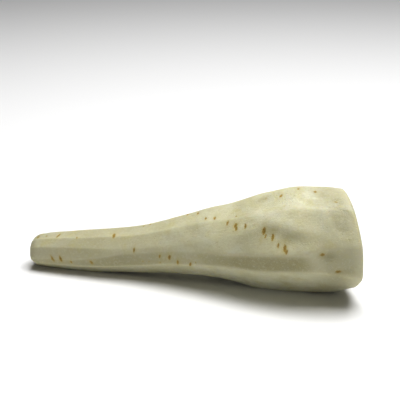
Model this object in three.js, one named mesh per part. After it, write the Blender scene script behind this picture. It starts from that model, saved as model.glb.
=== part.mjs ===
// A peeled parsnip root with its crown and its tail trimmed off, lying on its side.
// It is one solid that grew in one piece, so it is one mesh. Millimetres: +X runs from
// the tail to the crown, -Y is the front, +Z is up and z = 0 is what the root lies on.

import * as THREE from 'three';
import { mergeVertices } from 'three/addons/utils/BufferGeometryUtils.js';

// Driving dimensions.
const LENGTH = 175; // from the tail cut to the crown cut, along the middle

// [share of the length, radius before peeling, height of the root's middle line]
const STATIONS = [
  [0.00, 7.6, 8.8],
  [0.06, 10.0, 9.7],
  [0.20, 11.7, 11.6],
  [0.35, 13.0, 14.9],
  [0.47, 15.3, 19.1],
  [0.57, 18.8, 22.2],
  [0.65, 21.5, 23.6],
  [0.73, 25.5, 25.1],
  [0.83, 28.1, 27.6],
  [0.93, 27.8, 29.2],
  [1.00, 26.3, 30.5],
];

// Each cut end swells by `dome` at its middle, then turns into the side over
// `round` along the root and `drop` towards the axis.
const TAIL_CUT = { dome: 0.2, round: 6.9, drop: 5.5 };
const CROWN_CUT = { dome: 1.5, round: 2.1, drop: 3.6 };

// The crown was cut off at a slant: its top leans back and its front stands forward.
const CROWN_LEAN_BACK = THREE.MathUtils.degToRad(6);
const CROWN_TURN = THREE.MathUtils.degToRad(21);
const LEAN_STARTS = 0.75; // share of the length where the slant begins to tell

// Every long stroke of the peeler leaves a flat, and between two flats stands a ridge
// of what was the round root. Each ridge has rows of [share of the length, degrees
// round from the front (90 is the top), reach as a share of the radius there].
const RIDGES = [
  [[0, 97, 1], [0.5, 93, 1], [1, 92, 1]],
  [[0, 62, 1], [0.31, 57, 1], [0.64, 54.5, 1], [0.85, 54.5, 1], [1, 52, 1]],
  [[0, 31, 1], [0.15, 29, 1], [0.31, 23, 1], [0.5, 21.5, 1], [0.64, 27, 1], [0.77, 38.5, 1],
    [0.85, 32, 1], [1, 29, 1]],
  [[0, -9, 1], [0.08, -7, 1], [0.2, -2.5, 1], [0.33, 10, 1], [0.57, 5, 1.02], [0.64, 3, 1.05],
    [0.72, 4.5, 1.06], [0.83, 4.5, 1.06], [0.91, 8.5, 1.04], [0.96, 12, 1.03], [1, 11, 1.02]],
  [[0, -28, 1], [0.31, -26, 1], [0.57, -21.5, 1], [0.64, -20, 0.98], [0.77, -18.5, 0.965],
    [0.87, -17, 0.98], [0.94, -20, 1], [1, -32, 1]],
  [[0, -76, 1.015], [0.3, -74, 1.035], [0.52, -72, 1], [0.76, -78, 1.01], [0.9, -78, 1.015],
    [1, -76, 0.975]],
  [[0, -104, 1.015], [0.3, -106, 1.035], [0.52, -108, 1], [0.76, -102, 1.01],
    [0.9, -102, 1.015], [1, -104, 0.975]],
  [[0, -150, 1], [0.5, -153, 1], [1, -150, 1]],
  [[0, -191, 1], [0.5, -188, 1], [1, -190, 1]],
  [[0, -227, 1], [0.5, -230, 1], [1, -228, 1]],
];

// The crown was pared again with short strokes. Each has rows of [share of the length,
// the way its flat faces, how close it comes to the axis as a share of the radius].
const PARINGS = [
  [[0.8, 48, 1.2], [0.88, 40, 1.01], [0.94, 36, 0.95], [1, 35, 0.905]],
  [[0.8, -8, 1.2], [0.88, -8, 1], [0.94, -8, 0.965], [1, -8, 0.93]],
];
const RIDGE_SHARPNESS = 60; // the higher, the crisper the ridges between the flats
const RIM_SHARPNESS = 16; // the ridges are worn rounder at the crown's rim
const RIM_STARTS = 0.9; // share of the length where they begin to soften
const LEAST_FACING = 1e-3; // keeps a flat that faces away out of the sum

// How finely the surface is divided.
const STEPS_AROUND = 72;
const STEPS_ALONG_SIDE = 38;
const STEPS_PER_CUT = 5;
const STEPS_PER_ROUND = 5;

// The value at `share` of a smooth curve through the rows: a cubic between each two
// rows, whose slope at a row is the slope between that row's neighbours.
function smoothValue(rows, column, share) {
  const last = rows.length - 1;
  const slope = (i) => {
    const before = rows[Math.max(i - 1, 0)];
    const after = rows[Math.min(i + 1, last)];
    return (after[column] - before[column]) / (after[0] - before[0]);
  };
  let i = 0;
  while (i < last - 1 && share > rows[i + 1][0]) i += 1;
  const span = rows[i + 1][0] - rows[i][0];
  const t = THREE.MathUtils.clamp((share - rows[i][0]) / span, 0, 1);
  const leaving = (t ** 3 - 2 * t ** 2 + t) * span * slope(i);
  const arriving = (t ** 3 - t ** 2) * span * slope(i + 1);
  const blend = 3 * t ** 2 - 2 * t ** 3;
  return (1 - blend) * rows[i][column] + leaving + blend * rows[i + 1][column] + arriving;
}

const radiusAt = (x) => smoothValue(STATIONS, 1, x / LENGTH);
const middleHeightAt = (x) => smoothValue(STATIONS, 2, x / LENGTH);

// A cut end's outline, as [depth in from the end, radius] from its middle to the side:
// a shallow dome, then a quarter of an ellipse.
function cutOutline(cut, sideRadius) {
  const faceRadius = sideRadius - cut.drop;
  const points = [];
  for (let i = 0; i < STEPS_PER_CUT; i += 1) {
    const out = i / STEPS_PER_CUT;
    points.push([cut.dome * out ** 2, faceRadius * out]);
  }
  for (let i = 0; i <= STEPS_PER_ROUND; i += 1) {
    const turn = (Math.PI / 2) * (i / STEPS_PER_ROUND);
    points.push([cut.dome + cut.round * (1 - Math.cos(turn)), faceRadius + cut.drop * Math.sin(turn)]);
  }
  return points;
}

// The whole outline, radius against distance from the tail, as if the root were round.
function outline() {
  const tailDepth = TAIL_CUT.dome + TAIL_CUT.round;
  const crownStart = LENGTH - CROWN_CUT.dome - CROWN_CUT.round;
  const tail = cutOutline(TAIL_CUT, radiusAt(tailDepth));
  const crown = cutOutline(CROWN_CUT, radiusAt(crownStart)).reverse();
  const points = tail.map(([depth, radius]) => new THREE.Vector2(radius, depth));
  for (let i = 1; i < STEPS_ALONG_SIDE; i += 1) {
    const x = THREE.MathUtils.lerp(tailDepth, crownStart, i / STEPS_ALONG_SIDE);
    points.push(new THREE.Vector2(radiusAt(x), x));
  }
  crown.forEach(([depth, radius]) => points.push(new THREE.Vector2(radius, LENGTH - depth)));
  return points;
}

// A direction round the axis, as (towards the front, up).
function around(degrees, length = 1) {
  const angle = THREE.MathUtils.degToRad(degrees);
  return new THREE.Vector2(Math.cos(angle), Math.sin(angle)).multiplyScalar(length);
}

// The flats at a share of the length, each as its outward direction and its closeness
// to the axis. A long stroke's flat is the chord between two neighbouring ridges.
function flatsAt(share) {
  const ridges = RIDGES.map((rows) => around(smoothValue(rows, 1, share), smoothValue(rows, 2, share)));
  const long = ridges.map((ridge, i) => {
    const chord = ridges[(i + 1) % ridges.length].clone().sub(ridge);
    const outward = new THREE.Vector2(-chord.y, chord.x).normalize();
    return { outward, closeness: ridge.dot(outward) };
  });
  const short = PARINGS.map((rows) => (
    { outward: around(smoothValue(rows, 1, share)), closeness: smoothValue(rows, 2, share) }));
  return [...long, ...short];
}

// How far out the peeled surface is, as a share of the radius, in a direction: the
// outline of a many-sided bar with slightly rounded ridges.
function peeled(share, direction) {
  const worn = THREE.MathUtils.smoothstep(share, RIM_STARTS, 1);
  const sharpness = THREE.MathUtils.lerp(RIDGE_SHARPNESS, RIM_SHARPNESS, worn);
  let sum = 0;
  flatsAt(share).forEach(({ outward, closeness }) => {
    sum += (Math.max(direction.dot(outward), LEAST_FACING) / closeness) ** sharpness;
  });
  return sum ** (-1 / sharpness);
}

// Moves one point of the round body to its place on the peeled, bent, slanted root.
function shapePoint(point) {
  const x = point.x;
  const share = x / LENGTH;
  const direction = new THREE.Vector2(-point.y, point.z).normalize();
  const out = Math.hypot(point.y, point.z) * peeled(share, direction);
  const side = -out * direction.x;
  const rise = out * direction.y;
  const lean = THREE.MathUtils.smoothstep(share, LEAN_STARTS, 1);
  point.x = x - lean * (Math.tan(CROWN_LEAN_BACK) * rise + Math.tan(CROWN_TURN) * side);
  point.y = side;
  point.z = Math.max(middleHeightAt(x) + rise, 0); // the soft flesh lies flat where it rests
}

function rootGeometry() {
  const lathe = new THREE.LatheGeometry(outline(), STEPS_AROUND);
  lathe.deleteAttribute('normal');
  lathe.deleteAttribute('uv');
  lathe.rotateZ(-Math.PI / 2); // the lathe's axis becomes +X
  const geometry = mergeVertices(lathe);
  const position = geometry.getAttribute('position');
  const point = new THREE.Vector3();
  for (let i = 0; i < position.count; i += 1) {
    point.fromBufferAttribute(position, i);
    shapePoint(point);
    position.setXYZ(i, point.x, point.y, point.z);
  }
  // The origin is the middle of the box's underside.
  geometry.computeBoundingBox();
  const middle = geometry.boundingBox.getCenter(new THREE.Vector3());
  geometry.translate(-middle.x, -middle.y, -geometry.boundingBox.min.z);
  geometry.computeVertexNormals();
  return geometry;
}

const peeledFlesh = new THREE.MeshStandardMaterial({ color: 0xd3cda6, roughness: 0.45, metalness: 0 });

const parsnip = new THREE.Group();
const root = new THREE.Mesh(rootGeometry(), peeledFlesh);
root.name = 'parsnip_root';
parsnip.add(root);

export default parsnip;
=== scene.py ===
# %% [markdown]
# # A peeled parsnip
#
# This lesson builds one parsnip root: peeled with a blade, trimmed at the crown and at
# the tail, and laid on its side. The real thing grew in one piece, so it is one closed
# mesh. What makes it a parsnip and not a cone is small: the long flats that the peeler
# left, the rows of brown side-root scars, the fibres, the damp sheen, and the pale core
# inside its brown ring on the cut crown.
#
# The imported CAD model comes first. It says how big the root is and how it lies: +X runs
# from the tail to the crown, -Y is the front and z = 0 is the table.

import bpy
import numpy as np
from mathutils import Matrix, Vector


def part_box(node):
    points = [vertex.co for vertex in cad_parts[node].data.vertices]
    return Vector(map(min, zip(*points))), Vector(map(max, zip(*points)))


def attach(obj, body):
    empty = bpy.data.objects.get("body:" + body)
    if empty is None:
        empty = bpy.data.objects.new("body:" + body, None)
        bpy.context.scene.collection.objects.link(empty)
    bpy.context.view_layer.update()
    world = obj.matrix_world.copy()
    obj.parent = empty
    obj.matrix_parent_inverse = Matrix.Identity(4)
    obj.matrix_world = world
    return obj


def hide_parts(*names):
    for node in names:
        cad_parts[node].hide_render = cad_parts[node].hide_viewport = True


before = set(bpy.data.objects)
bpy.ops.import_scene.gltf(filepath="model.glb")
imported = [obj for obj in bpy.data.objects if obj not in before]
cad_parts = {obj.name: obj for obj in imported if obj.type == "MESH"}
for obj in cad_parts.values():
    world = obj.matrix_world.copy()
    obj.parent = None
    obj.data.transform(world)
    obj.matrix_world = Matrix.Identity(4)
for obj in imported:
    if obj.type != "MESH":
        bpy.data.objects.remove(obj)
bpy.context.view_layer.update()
NODE = "parsnip_root"
cad_low, cad_high = (np.array(corner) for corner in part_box(NODE))
print("the root's box in millimetres:", np.round(1000 * (cad_high - cad_low), 1))

# %% [markdown]
# ## The camera
#
# The root is seen from the front, a little from above and a little from the crown's side.
# A long lens from half a metre away keeps the taper honest, where a short lens close up
# would swell the crown. The camera aims just above the root, which leaves room over it.

# %% Camera
CAMERA_AZIMUTH = 12.0  # degrees round from the front, towards the crown
CAMERA_ELEVATION = 20.0  # degrees above the level
CAMERA_DISTANCE = 0.550  # metres
CAMERA_LENS = 94.4  # millimetres
AIM = Vector((0.0036, 0.0009, 0.0451))


def direction(azimuth, elevation):
    """The unit vector towards a place that far round from -Y and that far up, in degrees."""
    a, e = np.radians([azimuth, elevation])
    return Vector((np.sin(a) * np.cos(e), -np.cos(a) * np.cos(e), np.sin(e)))


def place(thing, where, target):
    """Puts a camera or a lamp somewhere, turned so that it looks at the target."""
    thing.location = where
    thing.rotation_euler = (target - where).to_track_quat("-Z", "Y").to_euler()
    bpy.context.scene.collection.objects.link(thing)


camera = bpy.data.objects.new("camera", bpy.data.cameras.new("camera"))
camera.data.lens = CAMERA_LENS
camera.data.clip_start = 0.01
place(camera, AIM + CAMERA_DISTANCE * direction(CAMERA_AZIMUTH, CAMERA_ELEVATION), AIM)
bpy.context.scene.camera = camera
print("the camera stands at", [round(c, 3) for c in camera.location])

# %% [markdown]
# ## Light and floor
#
# A product table: a white floor, one wide soft lamp overhead and a little to the crown's
# side, and a dim pale room around it. A small lamp behind adds next to no light, but damp
# flesh glints in it. A low lamp in front reaches under the root. The wide lamp makes the
# top flats bright and leaves the front flats to the low lamp and to the light that comes
# back from the floor, which is what tells one stroke of the peeler from the next. The
# view's gamma is below 1, which keeps the floor white and the side flats deep.

# %% Light and floor
LAMP_PLACE = Vector((0.20, 0.08, 1.10))
LAMP_AIM = Vector((0.0, 0.0, 0.02))
LAMP_SIZE = 0.85
LAMP_POWER = 18.5
BULB_PLACE = Vector((-0.13, 0.54, 0.87))
BULB_SIZE = 0.08
BULB_POWER = 1.0
FILL_PLACE = Vector((0.10, -1.20, 0.16))
FILL_SIZE = 0.30
FILL_POWER = 2.2
ROOM_COLOUR = (1.0, 0.99, 0.97)
ROOM_STRENGTH = 0.07
FLOOR_REACH = 3.0
FLOOR_GREY = 0.85
FLOOR_ROUGHNESS = 0.7
VIEW_GAMMA = 0.76

scene = bpy.context.scene
scene.view_settings.view_transform = "Standard"
scene.view_settings.gamma = VIEW_GAMMA

for name, where, size, power in (
    ("overhead_lamp", LAMP_PLACE, LAMP_SIZE, LAMP_POWER),
    ("small_lamp_behind", BULB_PLACE, BULB_SIZE, BULB_POWER),
    ("low_front_lamp", FILL_PLACE, FILL_SIZE, FILL_POWER),
):
    lamp = bpy.data.objects.new(name, bpy.data.lights.new(name, "AREA"))
    lamp.data.size = size
    lamp.data.energy = power
    place(lamp, where, LAMP_AIM)

scene.world = bpy.data.worlds.new("pale_room")
scene.world.use_nodes = True
room = scene.world.node_tree.nodes["Background"]
room.inputs["Color"].default_value = (*ROOM_COLOUR, 1.0)
room.inputs["Strength"].default_value = ROOM_STRENGTH

corners = [(x * FLOOR_REACH, y * FLOOR_REACH, 0) for x, y in ((-1, -1), (1, -1), (1, 1), (-1, 1))]
floor_mesh = bpy.data.meshes.new("floor")
floor_mesh.from_pydata(corners, [], [(0, 1, 2, 3)])
floor = bpy.data.objects.new("floor", floor_mesh)
scene.collection.objects.link(floor)
floor_finish = bpy.data.materials.new("white_table")
floor_finish.use_nodes = True
table_top = floor_finish.node_tree.nodes["Principled BSDF"]
table_top.inputs["Base Color"].default_value = (FLOOR_GREY, FLOOR_GREY, FLOOR_GREY, 1.0)
table_top.inputs["Roughness"].default_value = FLOOR_ROUGHNESS
floor_mesh.materials.append(floor_finish)
print("three lamps, one pale room, one floor")

# %% [markdown]
# ## Smooth curves through a few rows
#
# A root's width, and the way a ridge wanders along it, change slowly, so a handful of
# rows is enough. Between two rows the value follows a cubic whose slope at each row is
# the slope between that row's neighbours. The curve passes through every row and never
# kinks.

# %% Curve helpers


def smooth(rows, column, share):
    """The value at each share of the length on a smooth curve through the rows.

    Each row is [share, value, ...]. With t going from 0 to 1 between two rows, it is
    (1 - b) * here + b * next, where b = 3t^2 - 2t^3, plus each row's slope times its own
    cubic, t^3 - 2t^2 + t when leaving a row and t^3 - t^2 when arriving.
    """
    at, value = np.array(rows, float)[:, [0, column]].T
    before, after = np.r_[0, : len(at) - 1], np.r_[1 : len(at), len(at) - 1]
    slope = (value[after] - value[before]) / (at[after] - at[before])
    i = np.clip(np.searchsorted(at, share) - 1, 0, len(at) - 2)
    span = at[i + 1] - at[i]
    t = np.clip((share - at[i]) / span, 0, 1)
    b = 3 * t**2 - 2 * t**3
    leaving = (t**3 - 2 * t**2 + t) * span * slope[i]
    arriving = (t**3 - t**2) * span * slope[i + 1]
    return (1 - b) * value[i] + leaving + b * value[i + 1] + arriving


def rise(start, end, value):
    """0 before start, 1 after end, and a smooth rise between them."""
    t = np.clip((value - start) / (end - start), 0, 1)
    return t * t * (3 - 2 * t)


print("half way up a rise:", rise(0, 1, 0.5))

# %% [markdown]
# ## The root before and after peeling
#
# These are the CAD model's own dimensions, in millimetres, repeated here so that the fine
# surface follows the solid. First comes the round root, as a radius and a middle line. Then
# the ridges: every long stroke of the peeler leaves a flat, and between two flats stands
# a ridge of what was the round root. The crown was pared again with two short strokes.
# The mesh is turned into metres at the very end.

# %% Dimensions of the root
LENGTH = 175.0
STATIONS = [  # share of the length, radius before peeling, height of the middle line
    [0.00, 7.6, 8.8],
    [0.06, 10.0, 9.7],
    [0.20, 11.7, 11.6],
    [0.35, 13.0, 14.9],
    [0.47, 15.3, 19.1],
    [0.57, 18.8, 22.2],
    [0.65, 21.5, 23.6],
    [0.73, 25.5, 25.1],
    [0.83, 28.1, 27.6],
    [0.93, 27.8, 29.2],
    [1.00, 26.3, 30.5],
]
TAIL_CUT = {"dome": 0.2, "round": 6.9, "drop": 5.5}
CROWN_CUT = {"dome": 1.5, "round": 2.1, "drop": 3.6}
LEAN_BACK = np.tan(np.radians(6.0))  # the crown's cut leans back at the top
LEAN_ASIDE = np.tan(np.radians(21.0))  # and stands forward at the front
LEAN_STARTS = 0.75

RIDGES = [  # rows of share of the length, degrees round from the front, reach
    [[0, 97, 1], [0.5, 93, 1], [1, 92, 1]],
    [[0, 62, 1], [0.31, 57, 1], [0.64, 54.5, 1], [0.85, 54.5, 1], [1, 52, 1]],
    [[0, 31, 1], [0.15, 29, 1], [0.31, 23, 1], [0.5, 21.5, 1], [0.64, 27, 1], [0.77, 38.5, 1],
     [0.85, 32, 1], [1, 29, 1]],
    [[0, -9, 1], [0.08, -7, 1], [0.2, -2.5, 1], [0.33, 10, 1], [0.57, 5, 1.02],
     [0.64, 3, 1.05], [0.72, 4.5, 1.06], [0.83, 4.5, 1.06], [0.91, 8.5, 1.04],
     [0.96, 12, 1.03], [1, 11, 1.02]],
    [[0, -28, 1], [0.31, -26, 1], [0.57, -21.5, 1], [0.64, -20, 0.98], [0.77, -18.5, 0.965],
     [0.87, -17, 0.98], [0.94, -20, 1], [1, -32, 1]],
    [[0, -76, 1.015], [0.3, -74, 1.035], [0.52, -72, 1], [0.76, -78, 1.01], [0.9, -78, 1.015],
     [1, -76, 0.975]],
    [[0, -104, 1.015], [0.3, -106, 1.035], [0.52, -108, 1], [0.76, -102, 1.01],
     [0.9, -102, 1.015], [1, -104, 0.975]],
    [[0, -150, 1], [0.5, -153, 1], [1, -150, 1]],
    [[0, -191, 1], [0.5, -188, 1], [1, -190, 1]],
    [[0, -227, 1], [0.5, -230, 1], [1, -228, 1]],
]
PARINGS = [  # rows of share of the length, way the flat faces, closeness to the axis
    [[0.8, 48, 1.2], [0.88, 40, 1.01], [0.94, 36, 0.95], [1, 35, 0.905]],
    [[0.8, -8, 1.2], [0.88, -8, 1], [0.94, -8, 0.965], [1, -8, 0.93]],
]
# The olive is partly the flesh's own tint and partly painted shade, strongest on the low front flat
# of the shoulder.
FLAT_OLIVE_AND_SHADE = [  # rows of share of the length, how olive and shaded the flesh is; one for each flat and paring
    [[0, 0.10], [1, 0.10]],
    [[0, 0.15], [0.7, 0.05], [1, 0.10]],
    [[0, 0.10], [0.62, 0.05], [0.72, 0.30], [0.80, 0.05], [0.88, 0.00], [1, 0.20]],
    [[0, 0.40], [0.3, 0.65], [0.5, 0.40], [0.68, 1.00], [0.84, 1.00], [0.89, 0.25], [1, 0.35]],
    [[0, 0.10], [1, 0.00]],
    [[0, 0.00], [1, 0.00]],
    [[0, 0.45], [0.5, 0.10], [1, 0.35]],
    [[0, 0.10], [0.4, 0.40], [1, 0.05]],
    [[0, 0.25], [0.7, 0.05], [1, 0.45]],
    [[0, 0.05], [0.6, 0.30], [1, 0.10]],
    [[0, 0.60], [1, 0.60]],
    [[0, 0.45], [1, 0.45]],
]
RIDGE_SHARPNESS = 60  # crisp along the root
RIM_SHARPNESS = 16  # and worn round at the crown's rim
RIM_STARTS = 0.9
LEAST_FACING = 1e-3
print(len(RIDGES), "ridges and", len(PARINGS), "short strokes")

# %% [markdown]
# ## From a round outline to a peeled surface
#
# The outline runs from the middle of the tail cut, out and along the side, and in again
# to the middle of the crown cut. Its points are spaced evenly along its own length, so
# that the cut ends get as many rings as they need.
#
# The peeled cross-section is a polygon with slightly rounded corners. A soft maximum
# makes it: each flat asks for its own distance from the axis, and a high power lets the
# nearest flat win everywhere except close to a ridge, where two share.

# %% Outline and peeling
FINE_STEPS = 400


def cut_outline(cut, side_radius):
    """Depth in from the end and radius, from a cut's middle to the side.

    A dome, depth = dome * share^2, then a quarter of an ellipse.
    """
    share = np.linspace(0, 1, FINE_STEPS)
    turn = np.linspace(0, np.pi / 2, FINE_STEPS)[1:]
    face = side_radius - cut["drop"]
    depth = np.r_[cut["dome"] * share**2, cut["dome"] + cut["round"] * (1 - np.cos(turn))]
    return depth, np.r_[face * share, face + cut["drop"] * np.sin(turn)]


def radius_at(x):
    """The round root's radius at a distance from the tail."""
    return smooth(STATIONS, 1, x / LENGTH)


def outline(rings):
    """Distance from the tail and radius at evenly spaced rings along the whole outline."""
    tail_end = TAIL_CUT["dome"] + TAIL_CUT["round"]
    crown_start = LENGTH - CROWN_CUT["dome"] - CROWN_CUT["round"]
    tail_depth, tail_radius = cut_outline(TAIL_CUT, radius_at(tail_end))
    crown_depth, crown_radius = cut_outline(CROWN_CUT, radius_at(crown_start))
    side = np.linspace(tail_end, crown_start, FINE_STEPS)[1:-1]
    x = np.r_[tail_depth, side, LENGTH - crown_depth[::-1]]
    radius = np.r_[tail_radius, radius_at(side), crown_radius[::-1]]
    travelled = np.r_[0, np.cumsum(np.hypot(np.diff(x), np.diff(radius)))]
    even = np.linspace(0, travelled[-1], rings)
    return np.interp(even, travelled, x), np.interp(even, travelled, radius)


def flats_at(share):
    """Each flat's outward direction (front, up) and closeness to the axis.

    A long stroke's flat is the chord between two neighbouring ridges: its direction is
    square to the chord, and its closeness is how far a ridge stands along it.
    """
    ridges = []
    for rows in RIDGES:
        angle, reach = np.radians(smooth(rows, 1, share)), smooth(rows, 2, share)
        ridges.append(reach * np.array([np.cos(angle), np.sin(angle)]))
    flats = []
    for here, after in zip(ridges, ridges[1:] + ridges[:1]):
        chord = after - here
        outward = np.array([-chord[1], chord[0]]) / np.hypot(*chord)
        flats.append((outward, (here * outward).sum(0)))
    for rows in PARINGS:
        angle = np.radians(smooth(rows, 1, share))
        flats.append((np.array([np.cos(angle), np.sin(angle)]), smooth(rows, 2, share)))
    return flats


def peel(share, angle):
    """How far out the peeled surface is, as a share of the radius, with its ridge, and its
    olive tint with painted shade.

    Summed over the flats, (facing / closeness)^power, then to the power -1 / power. The
    ridge value is 0 on a flat and 1 where two flats meet. The olive tint and painted shade
    are the flats' own, each in proportion to its part of the sum.
    """
    total, strongest, olive_and_shade = 0, 0, 0
    power = RIDGE_SHARPNESS + (RIM_SHARPNESS - RIDGE_SHARPNESS) * rise(RIM_STARTS, 1, share)
    for (outward, closeness), rows in zip(flats_at(share), FLAT_OLIVE_AND_SHADE):
        facing = np.cos(angle) * outward[0] + np.sin(angle) * outward[1]
        pull = (np.maximum(facing, LEAST_FACING) / closeness) ** power
        total = total + pull
        strongest = np.maximum(strongest, pull)
        olive_and_shade = olive_and_shade + pull * smooth(rows, 1, share)
    ridge = np.clip(2 * (1 - strongest / total), 0, 1)
    return total ** (-1 / power), ridge, olive_and_shade / total


# %% [markdown]
# ## Lumps, dents and waver
#
# Flats from a blade are never dead flat. The shoulder has a soft knuckle where the long
# strokes ended, a hollow beside it, and two dimples where thick side roots grew. They
# are round hills and dips on the surface. Two short strokes at the crown left shallow
# dishes with a crisp border. Under everything goes a slow waver, a few sines with random
# directions, because a hand held both the root and the blade. The same kind of list says
# where the flesh is olive, where shade is painted on it, and where it is wet.

# %% Lumps, dents and waver
LUMPS = [  # distance from the tail, degrees round, rise, reach along, reach round (degrees)
    (149.5, 23, 0.8, 6, 12),
    (151, 10.5, 0.9, 4.5, 7),
    (134, 27, -0.8, 5, 8),
    (143.5, 17.5, -1.0, 5.5, 8),
    (157.0, 5, -0.9, 2.6, 5),
    (162, -16.5, -0.6, 2.6, 5),
    (157.5, 42, 0.4, 2.5, 14),
    (118, 100, 0.5, 14, 20),
    (96, 200, -0.5, 12, 22),
    (146, 215, 0.7, 9, 16),
]
DISHES = [  # hollows with a crisp border, in the same terms
    (166, 41, -0.55, 7.0, 20),
    (162.5, -5, -0.45, 8.5, 17),
]
# Those at the top and at the back are olive blotches; round the pit, in the hollow and on the low
# strip near the crown they are painted shade.
OLIVE_AND_SHADE_PATCHES = [  # olive patches and painted shade, in the same terms
    (158.6, 4.5, 1.0, 2.2, 4.5),
    (136, 33, 0.5, 6, 6),
    (144, 24, 0.5, 5, 6),
    (129, 80, 0.6, 4.5, 6),
    (160, 76, 0.5, 3.0, 6),
    (165, 67, 0.5, 3.0, 5),
    (163, -17, 0.6, 8.0, 22),
    (110, 150, 0.5, 9, 16),
    (62, 190, 0.5, 12, 20),
]
WET = [  # where the flesh is wettest, in the same terms
    (145, 72, 0.9, 9, 13),
    (168, 64, 0.9, 5, 18),
    (150, 14, 0.7, 6, 5),
    (172, 18, 0.6, 3, 14),
    (118, 62, 0.4, 12, 12),
    (150, 150, 0.8, 10, 20),
    (120, 205, 0.5, 14, 20),
    (60, 120, 0.5, 16, 25),
]
DISH_FLOOR = 0.55  # the part of a dish's reach that is its level floor
WAVES = 14
WAVE_HEIGHT = 0.10
WAVER_SEED = 3
SHORTEST_WAVE, LONGEST_WAVE = 7.0, 30.0


def turned(angle, centre):
    """The angle from a centre, in degrees, the short way round."""
    return (np.degrees(angle) - centre + 180) % 360 - 180


def hills(rows, x, angle):
    """The sum of height * exp(-(distance along / reach)^2 - (distance round / reach)^2)."""
    total = 0
    for at, centre, height, reach, spread in rows:
        along, round_it = (x - at) / reach, turned(angle, centre) / spread
        total = total + height * np.exp(-(along**2) - round_it**2)
    return total


def dishes(rows, x, angle):
    """The deepest of the dishes: its height times 1 inside, falling to 0 at its border."""
    deepest = 0
    for at, centre, height, reach, spread in rows:
        distance = np.hypot((x - at) / reach, turned(angle, centre) / spread)
        deepest = np.minimum(deepest, height * (1 - rise(DISH_FLOOR, 1, distance)))
    return deepest


def waver(points, seed):
    """A sum of sines over space, each with its own random direction, length and phase."""
    draw = np.random.default_rng(seed)
    height = 0
    for length in np.geomspace(SHORTEST_WAVE, LONGEST_WAVE, WAVES):
        heading = draw.normal(size=3)
        heading *= 2 * np.pi / (length * np.linalg.norm(heading))
        wave = np.sin(points @ heading + draw.uniform(0, 2 * np.pi))
        height = height + wave * length / LONGEST_WAVE
    return WAVE_HEIGHT * height


# %% [markdown]
# ## Side-root scars
#
# A parsnip feeds through thin side roots that leave it in rows, and a peeler cuts each
# one across. What stays is a short brown streak that runs round the root, with a darker
# middle and a faint stain about it. The scars at the front are listed one by one. The
# rows at the back and underneath are drawn at random, with much the same sizes and gaps.
#
# Each scar is an ellipse. The mesh carries how deep inside the nearest scar each point
# is, which changes evenly from point to point, so the material can cut a crisp and
# slightly ragged edge from it at any scale.

# %% Scars
SCARS = [  # distance from the tail, degrees round, length round, width along, strength, tilt
    (4.5, 74, 2.2, 1.4, 0.35, 0), (9.5, 74, 2.2, 1.3, 0.40, 10), (16.5, 72, 5.0, 1.5, 0.62, -15),
    (28, 59, 1.8, 1.1, 0.30, 0), (49, 60, 4.0, 1.9, 0.85, 5), (64, 88, 1.6, 1.1, 0.35, 0),
    (67.5, 89, 2.0, 1.1, 0.40, 0), (88, 91, 2.2, 1.2, 0.50, 0), (94, 85, 2.4, 1.3, 0.60, 0),
    (99.5, 63, 2.8, 1.3, 0.75, 8), (104.5, 60, 3.0, 1.5, 0.85, 5), (112, 48, 3.6, 1.3, 0.65, -6),
    (116, 58, 1.3, 0.9, 0.50, 0), (116.6, 42.5, 3.4, 2.0, 0.90, 4), (117.2, 38, 3.0, 1.5, 0.80, 4),
    (122, 40, 3.6, 1.3, 0.75, 6), (132, 32, 4.6, 1.9, 1.00, -4), (133, 25.5, 2.8, 1.3, 0.45, -4),
    (136.5, 24, 4.6, 1.4, 0.85, 0), (139.2, 15, 3.0, 1.1, 0.72, 0), (142, 12.5, 4.0, 1.5, 0.95, -3),
    (142.7, 8.5, 2.6, 1.4, 0.85, -6), (130, 81, 1.2, 0.9, 0.30, 0), (138, 79, 2.8, 1.9, 0.60, -15),
    (147, 87.5, 2.0, 1.6, 0.50, 0), (156, 82, 2.0, 2.0, 0.80, 0), (165, 65, 1.4, 2.0, 0.40, 0),
    (15.2, -8, 4.6, 1.7, 0.62, 24), (20, -6.5, 4.6, 1.9, 0.80, 20), (26, -14, 2.6, 1.4, 0.50, 15),
    (37.6, -14, 3.0, 1.7, 0.75, 30), (61.7, 17, 3.4, 1.3, 0.75, 0), (66.5, -13, 1.1, 1.0, 0.35, 0),
    (70, -15, 1.0, 0.9, 0.30, 0), (76, -3, 2.8, 1.3, 0.62, -4), (76, -20, 1.2, 0.8, 0.35, 0),
    (81.4, -6.5, 4.0, 1.8, 0.85, -8), (86, -17.5, 3.4, 1.4, 0.85, -6), (93, -21, 3.4, 1.5, 0.88, -10),
    (96, -16.5, 1.1, 0.8, 0.35, 0), (156, 6, 1.9, 2.0, 0.95, 0), (162, -16.5, 1.9, 2.8, 0.70, 0),
]
HIDDEN_ROWS = [(128, 1.0), (172, 0.9), (214, 1.0), (262, 0.8)]  # degrees round, how plentiful
HIDDEN_SEED = 7
HIDDEN_START = (8, 14)  # the first scar's distance from the tail
HIDDEN_STOP = LENGTH - 12
HIDDEN_LONG = (1.2, 4.6)
HIDDEN_WIDE = (0.9, 1.9)
HIDDEN_STRENGTH = (0.35, 1.0)
STRAY, TILT_SPREAD = 9, 8  # degrees
GAP_SHAPE, GAP_SCALE = 2.0, 4.5  # of a gamma distribution, its scale in millimetres
SCAR_DEPTH = 0.28
STAIN_REACH = 1.9


def hidden_scars(seed):
    """Scars for the back and the underside: random gaps, sizes and tilts along each row."""
    draw = np.random.default_rng(seed)
    scars = []
    for row, plenty in HIDDEN_ROWS:
        x = draw.uniform(*HIDDEN_START)
        while x < HIDDEN_STOP:
            long = draw.uniform(*HIDDEN_LONG)
            wide = draw.uniform(*HIDDEN_WIDE)
            strength = draw.uniform(*HIDDEN_STRENGTH)
            centre, tilt = row + draw.normal(0, STRAY), draw.normal(0, TILT_SPREAD)
            scars.append((x, centre, long, wide, strength, tilt))
            x += draw.gamma(GAP_SHAPE, GAP_SCALE / plenty)
    return scars


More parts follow.
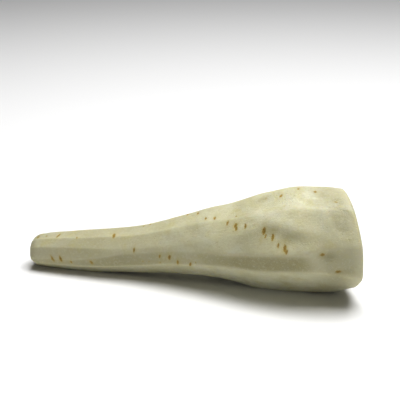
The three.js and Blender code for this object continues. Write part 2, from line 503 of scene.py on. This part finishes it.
def scar_fields(x, angle, radius):
    """How deep inside the nearest scar each point is (0 at its edge), and the stain.

    Distance from a scar is that of an ellipse: the root of the sum of (distance / half
    size)^2, along and across its tilt. Depth inside is strength * (1 - distance).
    """
    inside = np.full(x.shape, -1.0)
    stain = np.zeros(x.shape)
    for at, centre, long, wide, strength, tilt in SCARS + hidden_scars(HIDDEN_SEED):
        along, round_it = x - at, np.radians(turned(angle, centre)) * radius
        c, s = np.cos(np.radians(tilt)), np.sin(np.radians(tilt))
        across, lengthwise = along * c + round_it * s, round_it * c - along * s
        distance = np.hypot(across / (wide / 2), lengthwise / (long / 2))
        inside = np.maximum(inside, strength * (1 - distance))
        stain = np.maximum(stain, strength * np.exp(-((distance / STAIN_REACH) ** 2)))
    return inside, stain


print(len(SCARS), "scars in front and", len(hidden_scars(HIDDEN_SEED)), "behind")

# %% [markdown]
# ## The mesh
#
# A grid of rings and steps around, closed by one point at the middle of each cut. The
# flat where the root rests is the table's own height: soft flesh does not stand on an
# edge. The finished grid is moved so that the box round its unbumped surface is centred, with its
# lowest point on the table.

# %% Root surface
RINGS = 402
AROUND = 238
FIBRE_RADIUS = 22.0
# The tail and the crown turn greyer between these distances: partly greyer flesh, partly painted
# shade.
TAIL_GREY_AND_SHADE_FROM, TAIL_GREY_AND_SHADE_FULL = 125, 35  # distances from the tail
CROWN_GREY_AND_SHADE_FROM, CROWN_GREY_AND_SHADE_FULL = 144, 164
# The rim's paler band: paler flesh and painted light where the rounded rim catches the lamp.
LIT_RIM_FROM, LIT_RIM_FULL = LENGTH - 8, LENGTH - 3
CROWN_FACE = (0.90, 0.985)  # shares of the side's radius between which the face ends
TAIL_FACE = (0.30, 0.55)


def placed(x, out, angle):
    """The point at a distance from the tail, so far out from the middle line, at an angle.

    Side = -out * cos(angle) and rise = out * sin(angle). The crown leans: x falls with
    the rise and with the side. Nothing reaches below the table.
    """
    side, up = -out * np.cos(angle), out * np.sin(angle)
    share = x / LENGTH
    lean = rise(LEAN_STARTS, 1, share)
    height = np.maximum(smooth(STATIONS, 2, share) + up, 0)
    return np.stack([x - lean * (LEAN_BACK * up + LEAN_ASIDE * side), side, height], -1)


def box_middle(points):
    """The middle of the box round the points, at the height of their lowest one."""
    low, high = points.reshape(-1, 3).min(0), points.reshape(-1, 3).max(0)
    return np.array([(low[0] + high[0]) / 2, (low[1] + high[1]) / 2, low[2]])


def closed_grid(points):
    """Faces for a grid of rings whose first and last rows are single points."""
    rings, steps = points.shape[:2]
    start = 1 + steps * np.arange(rings - 2)[:, None]
    here, after = np.arange(steps)[None, :], (np.arange(steps)[None, :] + 1) % steps
    low, high = start[:-1], start[1:]
    quads = np.stack([low + here, high + here, high + after, low + after], -1).reshape(-1, 4)
    last = 1 + steps * (rings - 2)
    tail = np.stack([0 * here, start[0] + here, start[0] + after], -1).reshape(-1, 3)
    crown = np.stack([last + 0 * here, start[-1] + after, start[-1] + here], -1).reshape(-1, 3)
    return tail.tolist() + quads.tolist() + crown.tolist()


def one_per_vertex(grid):
    """The grid's values in the mesh's order, each end ring as its one point."""
    return np.concatenate([grid[0, :1], grid[1:-1].reshape(-1, *grid.shape[2:]), grid[-1, :1]])


ring_x, ring_radius = outline(RINGS)
x, angle = np.meshgrid(ring_x, np.linspace(0, 2 * np.pi, AROUND, endpoint=False), indexing="ij")
radius = np.broadcast_to(ring_radius[:, None], x.shape)
side_radius = radius_at(x)
out_share = radius / side_radius
on_side = out_share**4
peeled, ridge, olive_and_shade = peel(x / LENGTH, angle)
inside, stain = scar_fields(x, angle, side_radius)
plain = placed(x, radius * peeled, angle)
dents = SCAR_DEPTH * np.clip(inside, 0, 1)
relief = hills(LUMPS, x, angle) + dishes(DISHES, x, angle) + waver(plain, WAVER_SEED) - dents
shaped = radius * peeled + on_side * relief
points = placed(x, shaped, angle) - box_middle(plain)

fields = {
    "scar": on_side * (inside + 1) - 1,
    "stain": on_side * stain,
    "ridge": on_side * ridge,
    # the flats' olive tint, partly painted shade
    "olive_and_shade": on_side * np.clip(olive_and_shade, 0, 1),
    "wet": on_side * np.clip(hills(WET, x, angle), 0, 1),
    # olive blotches and painted shade in patches
    "olive_and_shade_patch": on_side * np.clip(hills(OLIVE_AND_SHADE_PATCHES, x, angle), 0, 1),
    # greyer flesh and painted shade toward the tail and at the crown
    "tailward_shade": 1 - rise(TAIL_GREY_AND_SHADE_FULL, TAIL_GREY_AND_SHADE_FROM, x),
    "crownward_shade": rise(CROWN_GREY_AND_SHADE_FROM, CROWN_GREY_AND_SHADE_FULL, x),
    # paler flesh and painted light at the crown's rounded rim
    "rim": on_side * rise(LIT_RIM_FROM, LIT_RIM_FULL, x),
    "across": out_share,
    "crown_cut": rise(0.5, 1.0, x / LENGTH) * (1 - rise(*CROWN_FACE, out_share)),
    "tail_cut": rise(0.5, 0.0, x / LENGTH) * (1 - rise(*TAIL_FACE, out_share)),
}
along = x + side_radius * (1 - out_share)
grown = np.stack([along, FIBRE_RADIUS * np.cos(angle), FIBRE_RADIUS * np.sin(angle)], -1)
print("the surface is", np.round(np.ptp(points.reshape(-1, 3), axis=0), 1), "mm")

# %% Root mesh
root_mesh = bpy.data.meshes.new("peeled_root")
root_mesh.from_pydata(one_per_vertex(points) / 1000, [], closed_grid(points))
for name, values in fields.items():
    layer = root_mesh.attributes.new(name, "FLOAT", "POINT")
    layer.data.foreach_set("value", one_per_vertex(values).astype(np.float32))
layer = root_mesh.attributes.new("grown", "FLOAT_VECTOR", "POINT")
layer.data.foreach_set("vector", one_per_vertex(grown).astype(np.float32).ravel())
root_mesh.polygons.foreach_set("use_smooth", np.ones(len(root_mesh.polygons), bool))
root_mesh.update()
root = bpy.data.objects.new("peeled_root", root_mesh)
scene.collection.objects.link(root)
print(len(root_mesh.vertices), "points,", len(root_mesh.polygons), "faces")

# %% [markdown]
# ## Writing shaders as expressions
#
# A material is a graph of nodes. Wiring it by hand hides the idea, so one small class
# wraps a socket: adding or multiplying two of them adds the Math node that does it, and
# one method adds any other kind of node.

# %% Shader helper


class Wire:
    """One output socket of a node tree, usable in Python expressions."""

    def __init__(self, tree, socket=None):
        self.tree, self.socket = tree, socket

    def node(self, kind, settings=None, inputs=None, output=0):
        """Adds a node: first its settings, then its sockets' values or wires."""
        made = self.tree.nodes.new(kind)
        for name, value in (settings or {}).items():
            setattr(made, name, value)
        for name, value in (inputs or {}).items():
            if isinstance(value, Wire):
                self.tree.links.new(value.socket, made.inputs[name])
            else:
                made.inputs[name].default_value = value
        return Wire(self.tree, made.outputs[output])

    def math(self, operation, first, second):
        """A Math node on two values or wires."""
        return self.node("ShaderNodeMath", {"operation": operation}, {0: first, 1: second})

    def __add__(self, other):
        return self.math("ADD", self, other)

    def __sub__(self, other):
        return self.math("SUBTRACT", self, other)

    def __rsub__(self, other):
        return self.math("SUBTRACT", other, self)

    def __mul__(self, other):
        return self.math("MULTIPLY", self, other)

    __radd__, __rmul__ = __add__, __mul__

    def between(self, low_edge, high_edge):
        """0 below the low edge, 1 above the high one, and a smooth rise between."""
        settings = {"interpolation_type": "SMOOTHSTEP"}
        edges = {"Value": self, "From Min": low_edge, "From Max": high_edge}
        return self.node("ShaderNodeMapRange", settings, edges)

    def blend(self, first, second):
        """The first colour where this mask is 0, the second where it is 1."""
        colours = [c if isinstance(c, Wire) else (*c, 1.0) for c in (first, second)]
        inputs = {0: self, 6: colours[0], 7: colours[1]}
        return self.node("ShaderNodeMix", {"data_type": "RGBA"}, inputs, 2)

    def stretched(self, *scales):
        """This place, scaled along each axis."""
        return self.node("ShaderNodeVectorMath", {"operation": "MULTIPLY"}, {0: self, 1: scales})

    def noise(self, scale, detail=2.0, roughness=0.5):
        """Soft random values at this place, mostly from 0.3 to 0.7."""
        inputs = {"Vector": self, "Scale": scale, "Detail": detail, "Roughness": roughness}
        return self.node("ShaderNodeTexNoise", {}, inputs)

    def specks(self, scale, small, large):
        """Round specks, one in each random cell: 1 inside the small radius, 0 outside the large."""
        inputs = {"Vector": self, "Scale": scale}
        return 1.0 - self.node("ShaderNodeTexVoronoi", {}, inputs).between(small, large)


flesh = bpy.data.materials.new("peeled_flesh")
flesh.use_nodes = True
tree = flesh.node_tree
shader = tree.nodes["Principled BSDF"]


def painted(name, output="Fac"):
    """A value that the mesh carries at each of its points."""
    return Wire(tree).node("ShaderNodeAttribute", {"attribute_name": name}, output=output)


place_mm = Wire(tree).node("ShaderNodeTexCoord", output="Object").stretched(1000, 1000, 1000)
grown_place = painted("grown", "Vector")
print("the material starts with", len(tree.nodes), "nodes")

# %% [markdown]
# ## Flesh, fibres and pits
#
# Places are taken in millimetres, so that every scale below can be read as a size. Root
# flesh is cream with cloudy paler and yellower areas, and olive on some flats and in a
# few patches; that olive is partly the flesh's own tint and partly painted shade. Its
# fibres run lengthwise, so their noise is stretched along the root, in a place that
# follows the taper. Finer and longer still are the lines that nicks in the peeler's
# blade draw. Tiny pits are scattered over it. The tail and the crown are greyer, partly
# greyer flesh and partly painted shade. The ridges are painted paler, a painted
# highlight where the creases catch the lamp, and the crown's rim is paler flesh with
# painted light where the rounded edge catches the lamp.
#
# The tints go on one after another, each where its mask says and no stronger than its
# amount.

# %% Flesh colour
CREAM = (0.572, 0.552, 0.378)
PALE = (0.640, 0.630, 0.480)
FIBRE = (0.490, 0.445, 0.270)
YELLOW = (0.520, 0.480, 0.235)
PIT = (0.360, 0.270, 0.120)
# olive tint of the flesh, also used as painted shade on the flats and in patches
OLIVE_AND_SHADE = (0.300, 0.275, 0.152)
# greyer flesh with painted shade, at the tail and at the crown
TAIL_GREY_AND_SHADE = (0.400, 0.375, 0.255)
CROWN_GREY_AND_SHADE = (0.440, 0.425, 0.300)
# paler flesh with painted light, for the crown's rounded rim
RIM_PALE_AND_LIT = (0.610, 0.592, 0.430)

clouds = place_mm.noise(0.07, 3.0)
mottle = place_mm.noise(0.80, 4.0, 0.65)
fibres = grown_place.stretched(0.16, 1.0, 1.0).noise(1.0, 3.0, 0.6)
blade_lines = grown_place.stretched(0.02, 1.0, 1.0).noise(2.0, 2.0, 0.6)
grain = place_mm.noise(2.2, 2.0, 0.6)
patchy = place_mm.noise(0.16, 2.0)
pits = place_mm.specks(0.50, 0.10, 0.22) * patchy.between(0.45, 0.60)
yellowness = place_mm.noise(0.13, 2.0).between(0.52, 0.72)


def tinted(under, layers):
    """The colour with each layer's tint mixed in: its mask, its greatest amount, the tint."""
    for mask, amount, tint in layers:
        under = (mask * amount).blend(under, tint)
    return under


side_colour = tinted(
    clouds.between(0.35, 0.65).blend(CREAM, PALE),
    (
        # partly greyer flesh, partly painted shade
        (painted("tailward_shade"), 0.45, TAIL_GREY_AND_SHADE),
        (painted("crownward_shade"), 0.70, CROWN_GREY_AND_SHADE),
        (yellowness, 0.40, YELLOW),
        # olive on the flats: partly the flesh's own tint, partly painted shade
        (painted("olive_and_shade"), 0.85, OLIVE_AND_SHADE),
        # olive patches: some real blotches, some painted shade round the pit, in the hollow and low
        # by the crown
        (painted("olive_and_shade_patch"), 0.70, OLIVE_AND_SHADE),
        (fibres.between(0.50, 0.75), 0.24, FIBRE),
        (mottle.between(0.50, 0.66), 0.28, FIBRE),
        ((1.0 - mottle).between(0.50, 0.66), 0.25, PALE),
        # painted highlight: the ridges are made lighter where their creases would catch the lamp
        (painted("ridge"), 0.30, PALE),
        # paler flesh and painted light where the rounded rim catches the lamp
        (painted("rim"), 0.50, RIM_PALE_AND_LIT),
        (pits, 0.15, PIT),
    ),
)
print("the flesh alone takes", len(tree.nodes), "nodes")

# %% [markdown]
# ## Scars in colour
#
# The mesh says how deep inside a scar each point is. A little noise is added before the
# edge is cut, so that the edge is ragged. The stain comes first, then ochre, then brown
# in the middle, broken up by more noise.

# %% Scar colour
STAIN = (0.480, 0.420, 0.210)
OCHRE = (0.390, 0.280, 0.065)
BROWN = (0.190, 0.120, 0.028)

RAGGEDNESS = 1.1  # in depths of the strongest scar
OCHRE_EDGE = (-0.05, 0.28)
BROWN_EDGE = (0.15, 0.70)

ragged = (place_mm.noise(1.7, 3.0, 0.65) - 0.5) * RAGGEDNESS
depth_inside = painted("scar") + ragged
scar_edge = depth_inside.between(*OCHRE_EDGE)
scar_middle = depth_inside.between(*BROWN_EDGE) * place_mm.noise(2.2, 2.0).between(0.42, 0.58)
scar_layers = (
    (painted("stain"), 0.60, STAIN),
    (scar_edge, 0.90, OCHRE),
    (scar_middle, 0.80, BROWN),
)
side_colour = tinted(side_colour, scar_layers)

# %% [markdown]
# ## The cut ends
#
# Across the crown the fibres are seen end on, so fine rays run out from the core. The
# core is pale and smooth with a few grey dots. The ring round it, where the leaf stems
# were rooted, is brown, speckled and stronger on one side. The tail's cut is small and
# has a faint core only.

# %% Colour of the cut ends
FACE = (0.590, 0.555, 0.370)
RAY = (0.480, 0.430, 0.240)
CORE = (0.660, 0.640, 0.560)
DOT = (0.330, 0.290, 0.200)
RING = (0.230, 0.125, 0.040)
CORE_EDGE = (0.20, 0.26)
RING_EDGE = (0.34, 0.50)

across = painted("across")
rays = grown_place.stretched(0.06, 1.0, 1.0).noise(0.75, 3.0, 0.65)
wandering = across + (place_mm.noise(0.45, 2.0) - 0.5) * 0.16
core = 1.0 - wandering.between(*CORE_EDGE)
ring = (1.0 - wandering.between(*RING_EDGE)) * (1.0 - core)
speckle = (rays * 0.6 + grain * 0.5).between(0.44, 0.62)
uneven = place_mm.noise(0.06, 1.0).between(0.30, 0.62) * 0.6 + 0.4

face_colour = (rays.between(0.40, 0.70) * 0.55).blend(FACE, RAY)
# the cut face's outer band: paler flesh and painted light where the rounded rim catches the lamp
face_colour = across.between(0.82, 0.97).blend(face_colour, RIM_PALE_AND_LIT)
face_colour = (ring * speckle * uneven).blend(face_colour, RING)
face_colour = core.blend(face_colour, CORE)
face_colour = (core * place_mm.specks(0.30, 0.10, 0.20)).blend(face_colour, DOT)

tail_core = (1.0 - across.between(0.10, 0.22)) * 0.6
tail_colour = (rays.between(0.40, 0.70) * 0.50).blend(FACE, RAY)
tail_colour = tail_core.blend(tail_colour, CORE)

colour = painted("crown_cut").blend(side_colour, face_colour)
colour = painted("tail_cut").blend(colour, tail_colour)
tree.links.new(colour.socket, shader.inputs["Base Color"])
print("colour takes", len(tree.nodes), "nodes")

# %% [markdown]
# ## Touch and shine
#
# Fresh flesh is damp. A thin coat gives the broad soft shine, and drops glint where it is
# wettest. The flesh is rougher in patches and where the fibres stand up. The bump's
# height is in millimetres: fibres, blade lines, grain and scars of a few hundredths, pits,
# drops and mottle of a tenth or more, and the brown ring's speckle of a fifth. Light
# enters the flesh and comes out a little further on, redder, which softens the shadows.

# %% Roughness, bump and depth
SKIN_RELIEF = 0.001  # metres for a height of 1
SCATTER_RADIUS = (1.0, 0.75, 0.35)
SCATTER_WEIGHT = 0.5
SCATTER_SCALE = 0.004
COAT_ROUGHNESS = 0.18
SPECULAR_LEVEL = 0.45

drops = place_mm.noise(1.2, 2.0).between(0.50, 0.64) * painted("wet")
roughness = 0.50 + patchy * 0.16 + fibres * 0.10 - drops * 0.50
tree.links.new(roughness.socket, shader.inputs["Roughness"])
damp = place_mm.noise(0.22, 3.0).between(0.45, 0.70) * 0.16 + 0.04
tree.links.new(damp.socket, shader.inputs["Coat Weight"])

height = fibres * 0.07 + blade_lines * 0.02 + mottle * 0.16 + grain * 0.07 - pits * 0.10
height = height + drops * 0.13 - scar_edge * 0.06 - ring * speckle * painted("crown_cut") * 0.20
bumps = Wire(tree).node("ShaderNodeBump", {}, {"Distance": SKIN_RELIEF, "Height": height})
tree.links.new(bumps.socket, shader.inputs["Normal"])

shader.inputs["Subsurface Weight"].default_value = SCATTER_WEIGHT
shader.inputs["Subsurface Radius"].default_value = SCATTER_RADIUS
shader.inputs["Subsurface Scale"].default_value = SCATTER_SCALE
shader.inputs["Coat Roughness"].default_value = COAT_ROUGHNESS
shader.inputs["Specular IOR Level"].default_value = SPECULAR_LEVEL
root_mesh.materials.append(flesh)
print("the finished material has", len(tree.nodes), "nodes")

# %% Place in the frame
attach(root, "root")
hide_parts(NODE)
